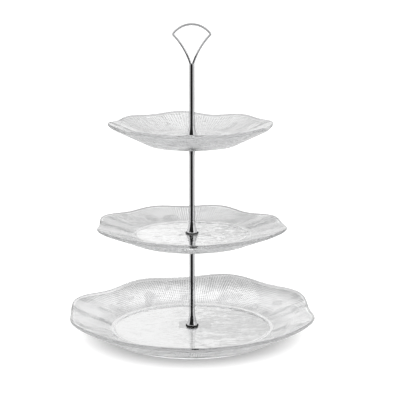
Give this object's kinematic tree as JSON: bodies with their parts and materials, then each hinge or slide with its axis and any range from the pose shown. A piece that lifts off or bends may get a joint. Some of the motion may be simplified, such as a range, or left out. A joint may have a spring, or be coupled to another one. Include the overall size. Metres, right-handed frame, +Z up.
{
  "type": "tiered cake stand",
  "caption": "Tiered serving stand: wavy pressed-glass plates of falling size on a screwed metal stem, with a fan-shaped wire handle.",
  "frame": {"origin": "on the table under the middle of the stem, in the plane of the bottom plate's foot ring", "axes": "+Z up along the stem, +X along the width of the wire handle, +Y through the handle's gap towards the back"},
  "size_m": [0.3189, 0.3177, 0.4047],
  "materials": {
    "glass": "clear pressed glass with an embossed rim band",
    "chrome": "polished plate",
    "steel": "zinc-plated fastener",
    "rubber": "soft black rubber"
  },
  "bodies": {
    "bottom_tier": {"bottom_plate": "glass"},
    "lower_stem": {"bottom_plate_washer": "rubber", "lower_foot": "chrome", "lower_tube": "chrome", "lower_head": "chrome", "lower_stud": "steel", "middle_plate_under_washer": "rubber"},
    "base_washers": {"base_metal_washer": "steel", "base_rubber_washer": "rubber"},
    "base_fixing": {"base_screw": "steel"},
    "middle_tier": {"middle_plate": "glass"},
    "middle_clamp": {"middle_clamp_washer": "rubber"},
    "middle_stem": {"middle_foot": "chrome", "middle_tube": "chrome", "middle_head": "chrome", "middle_stud": "steel", "top_plate_under_washer": "rubber"},
    "top_tier": {"top_plate": "glass"},
    "top_clamp": {"top_clamp_washer": "rubber"},
    "handle_stem": {"upper_foot": "chrome", "upper_tube": "chrome", "handle_plug": "chrome", "handle_loop": "chrome"}
  },
  "joints": [
    {"name": "stem_turn", "type": "hinge", "parent": "bottom_tier", "child": "lower_stem", "pos_m": [0, 0, 0.0092], "axis": [0, 0, 1], "continuous": true},
    {"name": "base_washer_travel", "type": "slide", "parent": "lower_stem", "child": "base_washers", "axis": [0, 0, -1], "range_m": [0, 0.009]},
    {"name": "base_screw_turn", "type": "hinge", "parent": "base_washers", "child": "base_fixing", "pos_m": [0, 0, 0.0046], "axis": [0, 0, -1], "range_deg": [0, 4055]},
    {"name": "middle_plate_turn", "type": "hinge", "parent": "lower_stem", "child": "middle_tier", "pos_m": [0, 0, 0.1342], "axis": [0, 0, 1], "continuous": true},
    {"name": "middle_stem_rise", "type": "slide", "parent": "lower_stem", "child": "middle_clamp", "axis": [0, 0, 1], "range_m": [0, 0.009]},
    {"name": "middle_stem_turn", "type": "hinge", "parent": "middle_clamp", "child": "middle_stem", "pos_m": [0, 0, 0.1355], "axis": [0, 0, 1], "range_deg": [0, 4055]},
    {"name": "top_plate_turn", "type": "hinge", "parent": "middle_stem", "child": "top_tier", "pos_m": [0, 0, 0.2592], "axis": [0, 0, 1], "continuous": true},
    {"name": "handle_stem_rise", "type": "slide", "parent": "middle_stem", "child": "top_clamp", "axis": [0, 0, 1], "range_m": [0, 0.009]},
    {"name": "handle_stem_turn", "type": "hinge", "parent": "top_clamp", "child": "handle_stem", "pos_m": [0, 0, 0.2605], "axis": [0, 0, 1], "range_deg": [0, 4055]}
  ],
  "couplings": [
    {"joint": "base_screw_turn", "follows": "base_washer_travel", "rad_per_m": 7854},
    {"joint": "middle_stem_turn", "follows": "middle_stem_rise", "rad_per_m": 7854},
    {"joint": "handle_stem_turn", "follows": "handle_stem_rise", "rad_per_m": 7854}
  ]
}
